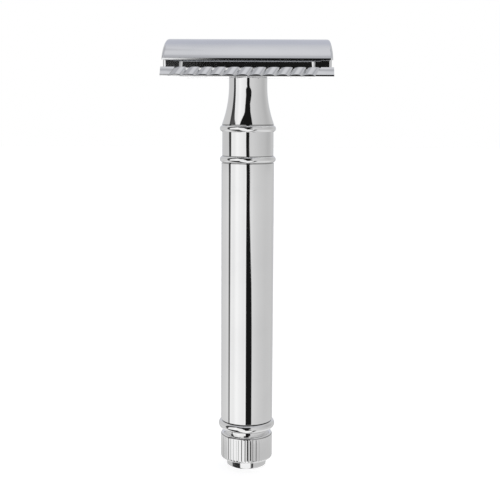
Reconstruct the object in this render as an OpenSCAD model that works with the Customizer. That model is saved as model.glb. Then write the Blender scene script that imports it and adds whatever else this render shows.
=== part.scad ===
// Three-piece double-edge safety razor: a curved cap, a thin blade, a guard plate with lobed bars
// and a long smooth handle that ends in a fluted knob.
// Millimetres. Z is up from the foot, X runs along the blade, Y runs across its two edges.

/* [Blade] */
// Length of the blade from tab to tab
blade_len = 43; // [40:0.5:48]
// Width of the flat blade from edge to edge
blade_w = 22; // [21:0.25:23.5]
// Thickness of the blade
blade_t = 0.1; // [0.08:0.01:0.2]
// Length of the narrow tab at each end of the blade
tab_len = 2.75; // [1.5:0.25:3.5]
// Width of the end tabs
tab_w = 15; // [12:0.5:17]
// Width of the long slot down the middle of the blade
blade_slot_w = 3; // [2:0.25:3.5]
// Radius of the curve that the head clamps the blade to
bend_r = 21; // [20:0.5:26]

/* [Cap] */
// Distance that the cap runs past each end of the blade
cap_over = 0.3; // [0.1:0.05:1]
// Distance that each cutting edge stands out past the cap
blade_reach = 0.3; // [0.2:0.05:0.7]
// Thickness of the cap at its crest
cap_t = 3.1; // [2.6:0.1:4]
// Height of the upright lip along each long side of the cap
lip_h = 0.45; // [0.3:0.05:0.8]
// Rounding of the four corners of the cap, seen from above
cap_corner_r = 0.4; // [0.3:0.1:2]
// Distance that each end of the cap leans in from the lip up to the crest
cap_lean = 0.45; // [0:0.05:0.8]
// Diameter of the two locating pegs under the cap
peg_d = 3.8; // [3:0.1:4.4]
// Distance from the middle of the head to each peg
peg_x = 13; // [11:0.5:14.5]

/* [Stud] */
// Outside diameter of the threaded stud
stud_d = 5; // [4:0.25:5.5]
// Pitch of the stud's thread
stud_pitch = 0.8; // [0.7:0.1:1]
// Depth of the stud's thread
thread_depth = 0.43; // [0.3:0.01:0.5]
// Length of stud that screws into the neck
stud_engage = 9.2; // [6:0.2:11]
// Depth of stud held inside the cap
stud_grip = 1.9; // [1.2:0.1:2]

/* [Guard plate] */
// Height of the blade bed's crest over the underside of the plate
bed_h = 6.6; // [6.2:0.1:7.4]
// Distance that the bed's end blocks stop short of the cap's ends
bed_short = 0.3; // [0.1:0.05:0.8]
// Width of the bed across its end blocks
bed_w = 19.8; // [18.6:0.2:20]
// Width of the bed's top between the two lather slots
bed_top_w = 17.6; // [16.6:0.2:18.2]
// Distance that the bed's front walls slope out towards the underside
bed_draft = 0.05; // [0.02:0.01:0.3]
// Rounding of the upright edges of the bed's end blocks
bed_corner_r = 0.7; // [0.2:0.1:1.5]
// Thickness of the floor that joins the bed to the guard bars
floor_t = 1.8; // [1.2:0.1:2]
// Length of the two lather slots
slot_len = 34.6; // [30:0.2:35]
// Distance that the guard bars run past each end of the cap
guard_over = 0.2; // [0:0.05:0.6]
// Distance that the front of each guard bar stands out past the cutting edge
guard_reach = 2.3; // [2:0.05:3]
// Height of the guard bars
guard_h = 2.4; // [2:0.1:2.6]
// Thickness of the guard bars from the slot to the front
guard_t = 2.1; // [1.7:0.05:2.2]
// Width of the flat on top of each guard bar
guard_flat = 0.15; // [0.1:0.05:0.5]
// Height of the upright lip along the front of each guard bar
guard_lip = 0.5; // [0.4:0.05:0.9]
// Number of rounded lobes across the slope of each guard bar
lobe_n = 11; // [7:2:11]
// Spacing of the lobes
lobe_pitch = 3.37; // [3:0.01:3.6]
// Radius of each lobe
lobe_r = 4.6; // [4:0.1:7]
// Angle by which the lobes lean along the bar
lobe_slant = 25; // [0:1:30]
// Distance of the middle lobe from the middle of the bar
lobe_shift = 0.44; // [0:0.02:0.8]

/* [Neck] */
// Diameter of the throat that meets the head
throat_d = 10.12; // [9:0.1:11.5]
// Length of the straight part of the throat
throat_len = 2; // [1:0.2:5]
// Length of the flare from the throat down to the upper bead
flare_len = 10.3; // [8:0.2:14]
// Diameter of the flare where it meets the upper bead
flare_d = 13.9; // [13:0.1:14.2]
// Diameter of the two beads
bead_d = 14.9; // [14.4:0.1:15.6]
// Height of each bead
bead_h = 2; // [1.6:0.1:2.6]
// Height of the small step beside each bead and beside the end ring
bead_step = 0.1; // [0:0.02:0.2]
// Diameter of the plain band between the beads
band_d = 13.66; // [13:0.1:14]
// Height of the plain band between the beads
band_h = 6.1; // [4:0.1:10]

/* [Handle] */
// Outside diameter of the handle tube
tube_d = 14; // [13.6:0.1:14.4]
// Length of the handle tube
tube_len = 70.4; // [50:0.4:90]
// Wall thickness of the handle tube
tube_wall = 1; // [0.8:0.1:2]
// Length of the spigots that enter the tube at both ends
spigot_len = 6.5; // [4:0.5:10]
// Diameter of the tie rod inside the tube
rod_d = 4; // [3:0.25:5]
// Depth of tie rod screwed into the neck and into the knob
rod_engage = 6; // [4:0.5:6.5]

/* [Knob] */
// Diameter of the bead ring under the tube
ring_d = 15.3; // [14.6:0.1:16]
// Height of the bead ring
ring_h = 2.5; // [2:0.1:3.2]
// Diameter of the waist between the ring and the knob
waist_d = 11.4; // [9.5:0.1:12]
// Height of the waist
waist_h = 1.1; // [0.6:0.1:2]
// Diameter of the knob over its flutes
knob_d = 14.1; // [13.4:0.1:15]
// Height of the fluted body of the knob
knob_h = 7.3; // [6.5:0.1:12]
// Rounding of the knob's lower edge
knob_low_r = 0.8; // [0.6:0.1:1.4]
// Rounding of the knob's shoulder
knob_high_r = 0.8; // [0.4:0.1:1.2]
// Number of flutes round the knob
flute_n = 48; // [24:2:54]
// Radius of the cutter that makes a flute
flute_r = 0.55; // [0.4:0.05:0.7]
// Depth of the flutes
flute_depth = 0.08; // [0.05:0.01:0.1]
// Diameter of the smooth foot
foot_d = 10.9; // [9.5:0.1:11.4]
// Height of the smooth foot
foot_h = 2.1; // [1.4:0.1:2.8]
// Rounding of the foot's lower edge
foot_edge_r = 0.5; // [0.2:0.05:0.8]

/* [Fits] */
// Gap between the bed and the blade, and between the blade and the cap
blade_gap = 0.05; // [0.03:0.01:0.08]
// Radial clearance of the pegs in the blade and in the plate
peg_clear = 0.2; // [0.1:0.05:0.3]
// Radial clearance of the stud where it passes through the plate and the blade
pass_clear = 0.3; // [0.15:0.05:0.5]
// Radial clearance of the screw threads
thread_clear = 0.05; // [0.02:0.01:0.08]
// Radial clearance of the spigots in the tube and of the stud in the cap
push_clear = 0.02; // [0.01:0.01:0.05]
// Clearance under the stud, under the pegs and round the tie rod
end_clear = 0.4; // [0.2:0.1:0.8]

/* [Hidden] */
$fn = 96;
tiny = 0.01;
// heights of the handle pieces, from the bench up
z_knob = foot_h;
z_shoulder = z_knob + knob_h;
z_ring = z_shoulder + waist_h;
z_tube = z_ring + ring_h;
z_collar = z_tube + tube_len;
z_band = z_collar + bead_h;
z_upper_bead = z_band + band_h;
z_flare = z_upper_bead + bead_h;
z_throat = z_flare + flare_len;
z_plate = z_throat + throat_len;
// the bed, the blade and the cap's underside are curved about one line
z_bed = z_plate + bed_h;
z_bend = z_bed - bend_r;
blade_in_r = bend_r + blade_gap;
blade_out_r = blade_in_r + blade_t;
under_r = blade_out_r + blade_gap;
bend_angle = blade_w / (blade_in_r + blade_out_r) * 180 / PI;
edge_y = blade_out_r * sin(bend_angle);
// the cap
cap_len = blade_len + 2 * cap_over;
cap_y = edge_y - blade_reach;
z_cap = z_bend + under_r;
z_crest = z_cap + cap_t;
z_lip = z_bend + sqrt(under_r * under_r - cap_y * cap_y);
crown_rise = z_crest - z_lip - lip_h;
crown_r = (cap_y * cap_y + crown_rise * crown_rise) / (2 * crown_rise);
z_peg = z_plate + end_clear;
// the stud and its tapped hole
stud_r = stud_d / 2;
z_stud = z_plate - stud_engage;
z_thread = z_bed - stud_pitch;
thread_steps = 8;
thread_sides = 20;
// the guard plate
bed_len = cap_len - 2 * bed_short;
guard_len = cap_len + 2 * guard_over;
guard_y = edge_y + guard_reach;
slot_in_y = bed_top_w / 2;
slot_out_y = guard_y - guard_t;
slot_r = (slot_out_y - slot_in_y) / 2;
z_guard_top = z_plate + guard_h;
z_bed_edge = z_bend + sqrt(bend_r * bend_r - bed_w * bed_w / 4);
z_floor = z_plate + floor_t;
// the slope of the guard bars, from the flat on top down to the lip
slope_run = guard_t - guard_flat;
slope_drop = guard_h - guard_lip;
slope_lean = atan2(slope_run, slope_drop);
// the neck's curve leaves the straight throat without a corner
flare_in = (flare_d - throat_d) / 2;
flare_r = (flare_len * flare_len + flare_in * flare_in) / (2 * flare_in);
bead_r = bead_h / 2 - bead_step;
// the handle's inside
bore_d = tube_d - 2 * tube_wall;
spigot_d = bore_d - 2 * push_clear;
ring_edge_r = ring_h / 2 - bead_step;
z_rod = z_ring - rod_engage;
z_rod_top = z_collar - spigot_len + rod_engage;

// a shape drawn in Y and Z, drawn out along X about the middle of the head
module along_head(length) {
    rotate([90, 0, 90])
        linear_extrude(height = length, center = true)
            children();
}

// both sides of the head, which is the same when it is turned about
module both_sides() {
    children();
    rotate([0, 0, 180])
        children();
}

// half outline of a turned disc with its lower and upper edges rounded
module turned_disc(r, z0, z1, low_r, high_r) {
    z_low = z0 + low_r;
    z_high = z1 - high_r;
    translate([0, z0])
        square([r - low_r, z_low - z0 + tiny]);
    translate([0, z_low])
        square([r, z_high - z_low]);
    translate([0, z_high - tiny])
        square([r - high_r, z1 - z_high + tiny]);
    translate([r - low_r, z_low])
        circle(r = low_r);
    translate([r - high_r, z_high])
        circle(r = high_r);
}

// rectangle with rounded corners, about its own middle
module rounded_plan(length, width, r) {
    square([length - 2 * r, width], center = true);
    square([length, width - 2 * r], center = true);
    for (x = [-1, 1], y = [-1, 1])
        translate([x * (length / 2 - r), y * (width / 2 - r)])
            circle(r = r);
}

// upright cutters at both pegs and at the stud
module head_holes(stud_hole_d, peg_hole_d, z0, z1) {
    translate([0, 0, z0])
        cylinder(d = stud_hole_d, h = z1 - z0);
    for (side = [-1, 1])
        translate([side * peg_x, 0, z0])
            cylinder(d = peg_hole_d, h = z1 - z0);
}

// Cap: a solid crown over a curved underside, with two pegs cast on it.
module top_cap() {
    color("silver")
    difference() {
        union() {
            intersection() {
                along_head(cap_len)
                    difference() {
                        intersection() {
                            translate([0, z_crest - crown_r])
                                circle(r = crown_r);
                            translate([-cap_y, z_bed - crown_r])
                                square([2 * cap_y, 2 * crown_r]);
                        }
                        translate([0, z_bend])
                            circle(r = under_r);
                    }
                translate([0, 0, z_plate])
                    linear_extrude(height = z_crest - z_plate + tiny)
                        rounded_plan(cap_len, 2 * cap_y, cap_corner_r);
                rotate([90, 0, 0])
                    linear_extrude(height = 3 * cap_y, center = true)
                        polygon([[-cap_len / 2, z_lip], [cap_len / 2, z_lip],
                                 [cap_len / 2 - cap_lean, z_crest], [cap_lean - cap_len / 2, z_crest]]);
            }
            for (side = [-1, 1])
                translate([side * peg_x, 0, z_peg])
                    cylinder(d = peg_d, h = z_cap - z_peg + cap_t / 3);
        }
        translate([0, 0, z_bed - tiny])
            cylinder(r = stud_r + push_clear, h = z_cap + stud_grip - z_bed + tiny);
    }
}

// Stud: a plain shank fixed in the cap and a right-hand thread for the neck.
module cap_stud() {
    color("gainsboro")
    union() {
        translate([0, 0, z_thread])
            cylinder(r = stud_r, h = z_cap + stud_grip - z_thread);
        translate([0, 0, z_stud])
            linear_extrude(height = z_thread - z_stud,
                           twist = -360 * (z_thread - z_stud) / stud_pitch,
                           slices = ceil(thread_steps * (z_thread - z_stud) / stud_pitch),
                           $fn = thread_sides)
                translate([thread_depth / 2, 0])
                    circle(r = stud_r - thread_depth / 2, $fn = thread_sides);
    }
}

// Blade: thin strip bent over the bed, with narrow end tabs, a long slot and three holes.
module blade() {
    far = 2 * blade_out_r;
    color("lightgray")
    difference() {
        intersection() {
            along_head(blade_len)
                intersection() {
                    translate([0, z_bend])
                        difference() {
                            circle(r = blade_out_r);
                            circle(r = blade_in_r);
                        }
                    translate([0, z_bend])
                        polygon([[0, 0], [-far * sin(bend_angle), far * cos(bend_angle)],
                                 [far * sin(bend_angle), far * cos(bend_angle)]]);
                }
            translate([0, 0, z_plate])
                linear_extrude(height = 2 * bed_h)
                    union() {
                        square([blade_len - 2 * tab_len, 2 * blade_w], center = true);
                        square([2 * blade_len, tab_w], center = true);
                    }
        }
        head_holes(stud_d + 2 * pass_clear, peg_d + 2 * peg_clear, z_plate, z_crest);
        translate([0, 0, z_crest / 2 + z_plate / 2])
            cube([2 * (peg_x + peg_d), blade_slot_w, z_crest - z_plate], center = true);
    }
}

// Guard plate: a curved bed, two lather slots and a lobed safety bar along each side.
module base_plate() {
    color("silver")
    difference() {
        union() {
            bed();
            translate([-guard_len / 2, -slot_out_y, z_plate])
                cube([guard_len, 2 * slot_out_y, floor_t]);
            both_sides()
                guard_bar();
        }
        both_sides()
            lather_slot();
        head_holes(stud_d + 2 * pass_clear, peg_d + 2 * peg_clear, z_plate - tiny, z_crest);
    }
}

// curved bed with sloping front walls and rounded upright edges
module bed() {
    foot_y = bed_w / 2 + bed_draft;
    intersection() {
        along_head(bed_len)
            intersection() {
                translate([0, z_bend])
                    circle(r = bend_r);
                polygon([[-foot_y, z_plate], [foot_y, z_plate], [foot_y, z_floor], [bed_w / 2, z_bed_edge],
                         [bed_w / 2, z_crest], [-bed_w / 2, z_crest], [-bed_w / 2, z_bed_edge],
                         [-foot_y, z_floor]]);
            }
        translate([0, 0, z_plate])
            linear_extrude(height = bed_h + tiny)
                rounded_plan(bed_len, 2 * foot_y, bed_corner_r);
    }
}

// safety bar that slopes down from a narrow flat to an upright lip, with rounded lobes across the slope
module guard_bar() {
    bar_in_y = slot_out_y - slot_r / 2;
    lobes_len = lobe_n * lobe_pitch;
    end_len = (guard_len - lobes_len) / 2;
    intersection() {
        along_head(guard_len)
            translate([bar_in_y, z_plate])
                square([guard_y - bar_in_y, guard_h]);
        union() {
            for (side = [-1, 1])
                translate([side * (guard_len - end_len) / 2 + lobe_shift / 2, 0, 0])
                    along_head(end_len - side * lobe_shift)
                        polygon([[bar_in_y, z_plate], [guard_y, z_plate], [guard_y, z_plate + guard_lip],
                                 [guard_y - slope_run, z_guard_top], [bar_in_y, z_guard_top]]);
            for (i = [0 : lobe_n - 1])
                translate([(i - (lobe_n - 1) / 2) * lobe_pitch + lobe_shift,
                           guard_y - slope_run / 2 - lobe_r * cos(slope_lean),
                           z_guard_top - slope_drop / 2 - lobe_r * sin(slope_lean)])
                    rotate([slope_lean, 0, 0])
                        rotate([0, -lobe_slant, 0])
                            cylinder(r = lobe_r, h = 4 * guard_h, center = true);
        }
    }
}

// round-ended slot that lets lather through, narrower at the underside because of the bed's draft
module lather_slot() {
    z_under = z_plate - guard_h;
    intersection() {
        translate([0, (slot_in_y + slot_out_y) / 2, z_under])
            linear_extrude(height = z_crest - z_plate)
                union() {
                    square([slot_len - 2 * slot_r, 2 * slot_r], center = true);
                    for (side = [-1, 1])
                        translate([side * (slot_len / 2 - slot_r), 0])
                            circle(r = slot_r);
                }
        along_head(slot_len)
            polygon([[slot_in_y, z_crest], [slot_in_y, z_bed_edge], [slot_in_y + bed_draft, z_floor],
                     [slot_in_y + bed_draft, z_under], [guard_y, z_under], [guard_y, z_crest]]);
    }
}

// Neck: flared throat, two beads with a plain band between, and a spigot for the tube.
module neck() {
    color("silver")
    rotate_extrude()
        difference() {
            union() {
                translate([0, z_collar - spigot_len])
                    square([spigot_d / 2, spigot_len]);
                translate([0, z_collar])
                    square([band_d / 2, z_flare - z_collar]);
                for (z = [z_collar, z_upper_bead])
                    translate([bead_d / 2 - bead_r, z + bead_h / 2])
                        circle(r = bead_r);
                difference() {
                    translate([0, z_flare])
                        square([flare_d / 2, z_plate - z_flare]);
                    translate([throat_d / 2 + flare_r, z_throat])
                        circle(r = flare_r);
                    translate([throat_d / 2, z_throat])
                        square([flare_d, throat_len + tiny]);
                }
            }
            translate([0, z_stud - end_clear])
                square([stud_r + thread_clear, stud_engage + 2 * end_clear]);
            translate([0, z_collar - spigot_len - tiny])
                square([rod_d / 2 + thread_clear, rod_engage + tiny]);
        }
}

// Tube: plain drawn tube between the neck and the ring.
module handle_tube() {
    color("silver")
    translate([0, 0, z_tube])
        difference() {
            cylinder(d = tube_d, h = tube_len);
            translate([0, 0, -tiny])
                cylinder(d = bore_d, h = tube_len + 2 * tiny);
        }
}

// Tie rod: draws the knob, the ring and the tube up against the neck.
module tie_rod() {
    color("goldenrod")
    translate([0, 0, z_rod])
        cylinder(d = rod_d, h = z_rod_top - z_rod);
}

// Ring: a half-round bead that closes the tube, with a spigot inside it.
module end_ring() {
    color("silver")
    rotate_extrude()
        difference() {
            union() {
                translate([0, z_ring])
                    square([ring_d / 2 - ring_edge_r, ring_h]);
                translate([ring_d / 2 - ring_edge_r, z_ring + ring_h / 2])
                    circle(r = ring_edge_r);
                translate([0, z_tube - tiny])
                    square([spigot_d / 2, spigot_len + tiny]);
            }
            translate([0, z_ring - tiny])
                square([rod_d / 2 + end_clear, ring_h + spigot_len + 2 * tiny]);
        }
}

// Knob: waist, rounded shoulder, fluted grip and smooth flat foot.
module knob() {
    color("silver")
    difference() {
        rotate_extrude()
            difference() {
                union() {
                    turned_disc(foot_d / 2, 0, z_knob + knob_low_r, foot_edge_r, tiny);
                    turned_disc(knob_d / 2, z_knob, z_shoulder, knob_low_r, knob_high_r);
                    translate([0, z_shoulder - knob_high_r])
                        square([waist_d / 2, waist_h + knob_high_r]);
                }
                translate([0, z_rod])
                    square([rod_d / 2 + thread_clear, rod_engage + tiny]);
            }
        for (i = [0 : flute_n - 1])
            rotate([0, 0, i * 360 / flute_n])
                translate([knob_d / 2 - flute_depth + flute_r, 0, z_knob])
                    cylinder(r = flute_r, h = knob_h);
    }
}

top_cap();
cap_stud();
blade();
base_plate();
neck();
handle_tube();
tie_rod();
end_ring();
knob();
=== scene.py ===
# %% [markdown]
# # A safety razor with a long smooth handle
#
# The razor has three parts that come apart in the hand: a curved cap with a threaded stud, a guard
# plate with a row of lobes along each side, and a handle. A thin double-edge blade is clamped between
# cap and plate. The solids of a CAD model give the sizes and the joints; this lesson dresses each one
# with a finer mesh and a chrome finish. The first step loads those solids.

# %% Load the fixed frame
import math

import bmesh
import bpy
from mathutils import Matrix


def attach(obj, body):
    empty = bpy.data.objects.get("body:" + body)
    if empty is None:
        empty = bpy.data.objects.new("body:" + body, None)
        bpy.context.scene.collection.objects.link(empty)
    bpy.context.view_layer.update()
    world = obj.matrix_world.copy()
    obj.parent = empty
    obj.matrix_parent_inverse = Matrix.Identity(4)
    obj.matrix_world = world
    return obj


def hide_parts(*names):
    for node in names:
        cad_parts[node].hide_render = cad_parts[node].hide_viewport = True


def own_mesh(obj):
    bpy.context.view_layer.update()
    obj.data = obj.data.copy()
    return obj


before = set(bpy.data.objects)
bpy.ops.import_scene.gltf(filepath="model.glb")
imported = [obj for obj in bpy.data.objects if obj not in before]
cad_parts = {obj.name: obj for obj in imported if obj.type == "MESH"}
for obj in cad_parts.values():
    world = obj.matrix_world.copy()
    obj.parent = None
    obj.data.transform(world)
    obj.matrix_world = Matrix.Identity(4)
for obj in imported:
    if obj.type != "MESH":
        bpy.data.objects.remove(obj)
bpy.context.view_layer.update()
print("solids:", sorted(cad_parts))

# %% [markdown]
# ## Sizes
#
# All sizes are in millimetres and match the solids, because the pieces have to sit where the solids
# are; only eased edges and other hair-fine details differ. Heights run up from the foot. The bed, the
# blade and the underside of the cap are curved about one line that runs along the head, so they share
# one centre height.

# %% Heights and radii of the razor
MM = 0.001
KNOB_Z, SHOULDER_Z, RING_Z, TUBE_Z, COLLAR_Z = 2.1, 9.4, 10.5, 13.0, 83.4
UPPER_BEAD_Z, FLARE_Z, THROAT_Z, PLATE_Z, BED_Z = 91.5, 93.5, 103.8, 105.8, 112.4
BLADE_W, BLADE_T, BLADE_GAP = 22.0, 0.1, 0.05
BEND_R = 21.0
BEND_Z = BED_Z - BEND_R
BLADE_IN_R = BEND_R + BLADE_GAP
BLADE_OUT_R = BLADE_IN_R + BLADE_T
UNDER_R = BLADE_OUT_R + BLADE_GAP
BEND_ANGLE = BLADE_W / (BLADE_IN_R + BLADE_OUT_R)
EDGE_Y = BLADE_OUT_R * math.sin(BEND_ANGLE)
print("cutting edge stands at %.2f mm from the middle" % EDGE_Y)

# %% [markdown]
# ## The camera
#
# The photograph looks at the razor from in front, with the lens a little lower than the head, and the
# razor is turned a degree or so. A camera can be moved by eye until the outline agrees, or worked out
# from the outline's own proportions. The second is exact: the handle narrows by perspective, which
# fixes both the distance and the tilt, and the head's ends fix the turn.

# %% Camera
YAW, TILT, ROLL = 1.6, 8.095, 0.3
ASIDE, AWAY, EYE_Z = 0.71, 277.8, 99.35
PIXELS, FOCAL_PIXELS, SENSOR = 500.0, 1039.2, 36.0
camera_data = bpy.data.cameras.new("camera")
camera_data.sensor_width = SENSOR
camera_data.lens = FOCAL_PIXELS * SENSOR / PIXELS
camera_data.clip_start = 0.01
camera = bpy.data.objects.new("camera", camera_data)
bpy.context.scene.collection.objects.link(camera)
swing = Matrix.Rotation(math.radians(YAW), 4, "Z")
tilt = Matrix.Rotation(math.radians(90.0 - TILT), 4, "X")
roll = Matrix.Rotation(math.radians(ROLL), 4, "Z")
stand = Matrix.Translation((ASIDE * MM, -AWAY * MM, EYE_Z * MM))
camera.matrix_world = swing @ stand @ tilt @ roll
bpy.context.scene.camera = camera
print("lens %.1f mm" % camera_data.lens)

# %% [markdown]
# ## The studio
#
# Chrome has hardly any colour of its own. What is seen on it is the room: a softbox on the left, a dark
# strip where the camera stands, and pale grey paper all round. The room could be built of cards, but
# cards get in the way of other views, so it is painted on the world by direction. Two numbers give a
# direction: its bearing round the razor and its rise over the horizon.


# %% World: bearing and rise of a direction
def node(tree, kind, **settings):
    """Adds a node and sets its plain settings."""
    made = tree.nodes.new(kind)
    for key, value in settings.items():
        setattr(made, key, value)
    return made


def feed(tree, socket, value):
    """Gives a socket a number, a colour or a link."""
    if isinstance(value, (int, float)):
        socket.default_value = value
    elif isinstance(value, tuple):
        socket.default_value = (*value, 1.0)
    else:
        tree.links.new(value, socket)


def math_node(tree, operation, *values):
    """A Math node whose inputs are sockets or numbers; gives its output."""
    made = node(tree, "ShaderNodeMath", operation=operation)
    for socket, value in zip(made.inputs, values):
        feed(tree, socket, value)
    return made.outputs[0]


world = bpy.data.worlds.new("studio")
bpy.context.scene.world = world
world.use_nodes = True
sky = world.node_tree
sky.nodes.clear()
direction = node(sky, "ShaderNodeTexCoord").outputs["Generated"]
parts = node(sky, "ShaderNodeSeparateXYZ")
sky.links.new(direction, parts.inputs[0])
towards_front = math_node(sky, "MULTIPLY", parts.outputs["Y"], -1.0)
turn = math_node(sky, "ARCTAN2", parts.outputs["X"], towards_front)
turn = math_node(sky, "MULTIPLY_ADD", turn, 0.5 / math.pi, 0.5)
height = math_node(sky, "MULTIPLY_ADD", parts.outputs["Z"], 0.5, 0.5)
print("bearing and rise: %d nodes" % len(sky.nodes))

# %% [markdown]
# Most of the room changes smoothly from one direction to the next, and a colour ramp does just that.
# The stops of these ramps could be plain places from 0 to 1. They are written in degrees instead,
# because degrees are what a maker reads off a reflection, and two short rules turn them into places.


# %% World: ramps in degrees
def ramp(tree, value, stops):
    """A colour ramp with the given (place, grey or colour) stops."""
    made = node(tree, "ShaderNodeValToRGB")
    elements = made.color_ramp.elements
    while len(elements) < len(stops):
        elements.new(0.5)
    for element, (place, shade) in zip(elements, stops):
        element.position = place
        colour = (shade,) * 3 if isinstance(shade, (int, float)) else shade
        element.color = (*colour, 1.0)
    tree.links.new(value, made.inputs[0])
    return made.outputs[0]


def bearing(degrees):
    """Place on a ramp of a bearing: 0 is towards the camera, positive is to the right."""
    return 0.5 + (degrees + YAW) / 360.0


def rise(degrees):
    """Place on a ramp of an angle over the horizon."""
    return 0.5 + 0.5 * math.sin(math.radians(degrees))


def by_rise(stops):
    """A value that follows the rise; stops are (degrees, value)."""
    return ramp(sky, height, [(rise(angle), value) for angle, value in stops])


def by_bearing(stops):
    """A value that follows the bearing; stops are (degrees, value)."""
    return ramp(sky, turn, [(bearing(angle), value) for angle, value in stops])


print("the camera stands at %.4f on a ramp of bearings" % bearing(0))

# %% [markdown]
# The paper is the ground coat. In front it is lit from below near the floor and is a cool grey
# overhead, and at eye level its tone falls off towards the right. Behind the razor it is a little
# bluer, and low down there is the white backdrop. One flat grey would light the razor as well, but
# polished metal shows every change of tone, so the changes are what make it look real.

# %% World: paper and backdrop
PAPER, COOL_TOP = 0.66, (0.70, 0.705, 0.73)


def blended(tree, factor, a, b):
    """Mixes two colours by a mask."""
    made = node(tree, "ShaderNodeMix", data_type="RGBA")
    feed(tree, made.inputs["Factor"], factor)
    feed(tree, made.inputs["A"], a)
    feed(tree, made.inputs["B"], b)
    return made.outputs["Result"]


def both(first, second):
    """Mask of the directions that lie in two masks at once."""
    return math_node(sky, "MULTIPLY", first, second)


def grey(shade):
    """A colour without a tint."""
    return (shade, shade, shade)


front_paper = by_rise([(-90, 0.8), (-35, 0.8), (-26, 0.58), (-19, 0.58), (-17, PAPER), (45, PAPER),
                       (60, (0.55, 0.555, 0.58)), (71, (0.56, 0.565, 0.59)), (74, (0.42, 0.425, 0.445)),
                       (77, (0.47, 0.475, 0.50)), (82, (0.66, 0.665, 0.69)), (90, COOL_TOP)])
low_tone = by_bearing([(-160, 0.64), (-135, 0.68), (-110, 0.71), (-97, 0.75), (20, 0.79), (25, 0.74),
                       (40, 0.69), (60, 0.65), (85, 0.62), (125, 0.63), (150, 0.58)])
high_tone = by_bearing([(-160, 0.63), (-100, 0.63), (20, 0.70), (40, 0.65), (60, 0.60), (80, 0.56),
                        (100, 0.50), (115, 0.52), (135, 0.60), (150, 0.58)])
upper = by_rise([(-90, 0.0), (-4, 0.0), (-2.8, 1.0), (90, 1.0)])
tone = blended(sky, upper, low_tone, high_tone)
eye_level = by_rise([(-90, 0.0), (-19, 0.0), (-17, 1.0), (42, 1.0), (52, 0.0), (90, 0.0)])
front_paper = blended(sky, eye_level, front_paper, tone)
back_paper = by_rise([(-90, 0.8), (-35, 0.8), (-25, 0.58), (14, (0.64, 0.65, 0.69)),
                      (24, (0.57, 0.585, 0.65)), (36, (0.53, 0.545, 0.61)), (52, (0.53, 0.545, 0.61)),
                      (64, (0.60, 0.61, 0.65)), (90, COOL_TOP)])
behind = by_bearing([(-160, 1.0), (-145, 0.0), (145, 0.0), (160, 1.0)])
room = blended(sky, behind, front_paper, back_paper)
backdrop = both(by_bearing([(-174, 1.0), (-170, 0.0), (170, 0.0), (174, 1.0)]),
                by_rise([(-90, 0.0), (-4, 0.0), (-3, 1.0), (4, 1.0), (9, 0.4), (14, 0.0), (90, 0.0)]))
room = blended(sky, backdrop, room, grey(1.12))
print("paper and backdrop: %d nodes" % len(sky.nodes))

# %% [markdown]
# The softbox, the dark strip at its left and the dark place of the camera are laid over the paper, each
# through a mask. A mask is a band of bearings whose two edges may shift as the rise grows. Upright
# edges would be simpler, but the flare and the shoulder of the real razor show edges that slant and
# swell, and this is where those come from.

# %% World: softbox and dark strips
EDGE_SOFT, DARK = 1.0, 0.01


def band(low, high, soft):
    """Mask of the bearings between two edges, each a place or a ramp, with soft borders in degrees."""
    sides = []
    for edge, (start, stop) in ((low, (0.0, 1.0)), (high, (1.0, 0.0))):
        made = node(sky, "ShaderNodeMapRange")
        sky.links.new(turn, made.inputs["Value"])
        feed(sky, made.inputs["From Min"], math_node(sky, "SUBTRACT", edge, soft / 360.0))
        feed(sky, made.inputs["From Max"], math_node(sky, "ADD", edge, soft / 360.0))
        made.inputs["To Min"].default_value = start
        made.inputs["To Max"].default_value = stop
        sides.append(made.outputs["Result"])
    return both(*sides)


def edge_by_rise(stops):
    """A bearing that follows the rise; stops are (degrees of rise, degrees of bearing)."""
    return by_rise([(angle, bearing(degrees)) for angle, degrees in stops])


box_left = edge_by_rise([(-90, -82.5), (-17, -82.5), (-10, -81), (-4, -80), (1, -79), (15, -77.5), (24, -74),
                         (28.5, -70.5), (32, -65.5), (46, -52), (90, -52)])
dark_left = edge_by_rise([(-90, -4.5), (-17, -4.5), (-8, -5.5), (-3.8, -5), (-2.5, -8), (1, -7.5),
                          (2.4, -5.7), (4.4, -12), (6, -13), (11, -12), (19, -15), (27, -18), (29.5, -22),
                          (32, -29), (34.5, -36), (38, -42.5), (46, -52), (90, -52)])
dark_right = edge_by_rise([(-90, 21.5), (-14, 21.5), (-12.4, 21), (-10, 19), (-8, 14), (-5.8, 9.5),
                           (-3.8, 10.5), (-2.5, 6), (1, 8.5), (3, 10.5), (5, 17), (7, 20.5), (11, 19.5),
                           (15, 16.5), (19, 12), (27, 13.5), (35, 20), (40, 23), (90, 23)])
box_tone = by_bearing([(-84, 0.99), (-75, 0.93), (-62, 0.91), (-50, 1.02), (-44, 1.02), (-36, 0.97),
                       (-24, 0.94), (-14, 0.90), (-8, 0.97)])
room = blended(sky, band(box_left, dark_left, EDGE_SOFT), room, box_tone)
strip_shade = by_rise([(-90, 0.3), (-17, 0.22), (-10, 0.12), (-3, 0.05), (2, 0.04), (20, 0.05), (30, 0.09),
                       (90, 0.09)])
strip_left = edge_by_rise([(-90, -91.5), (-4, -91), (-2, -93.5), (15, -95), (35, -98), (90, -98)])
high_end = by_rise([(-90, 1.0), (56, 1.0), (68, 0.0), (90, 0.0)])
left_strip = both(band(strip_left, box_left, EDGE_SOFT), high_end)
room = blended(sky, left_strip, room, strip_shade)
low_end = by_rise([(-90, 0.0), (-24, 0.0), (-21.5, 1.0), (90, 1.0)])
front_dark = both(band(dark_left, dark_right, EDGE_SOFT), both(low_end, high_end))
room = blended(sky, front_dark, room, grey(DARK))
left_high = both(band(bearing(-155), bearing(-85), 6.0),
                 by_rise([(-90, 0.0), (50, 0.0), (58, 1.0), (68, 1.0), (79, 0.0), (90, 0.0)]))
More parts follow.
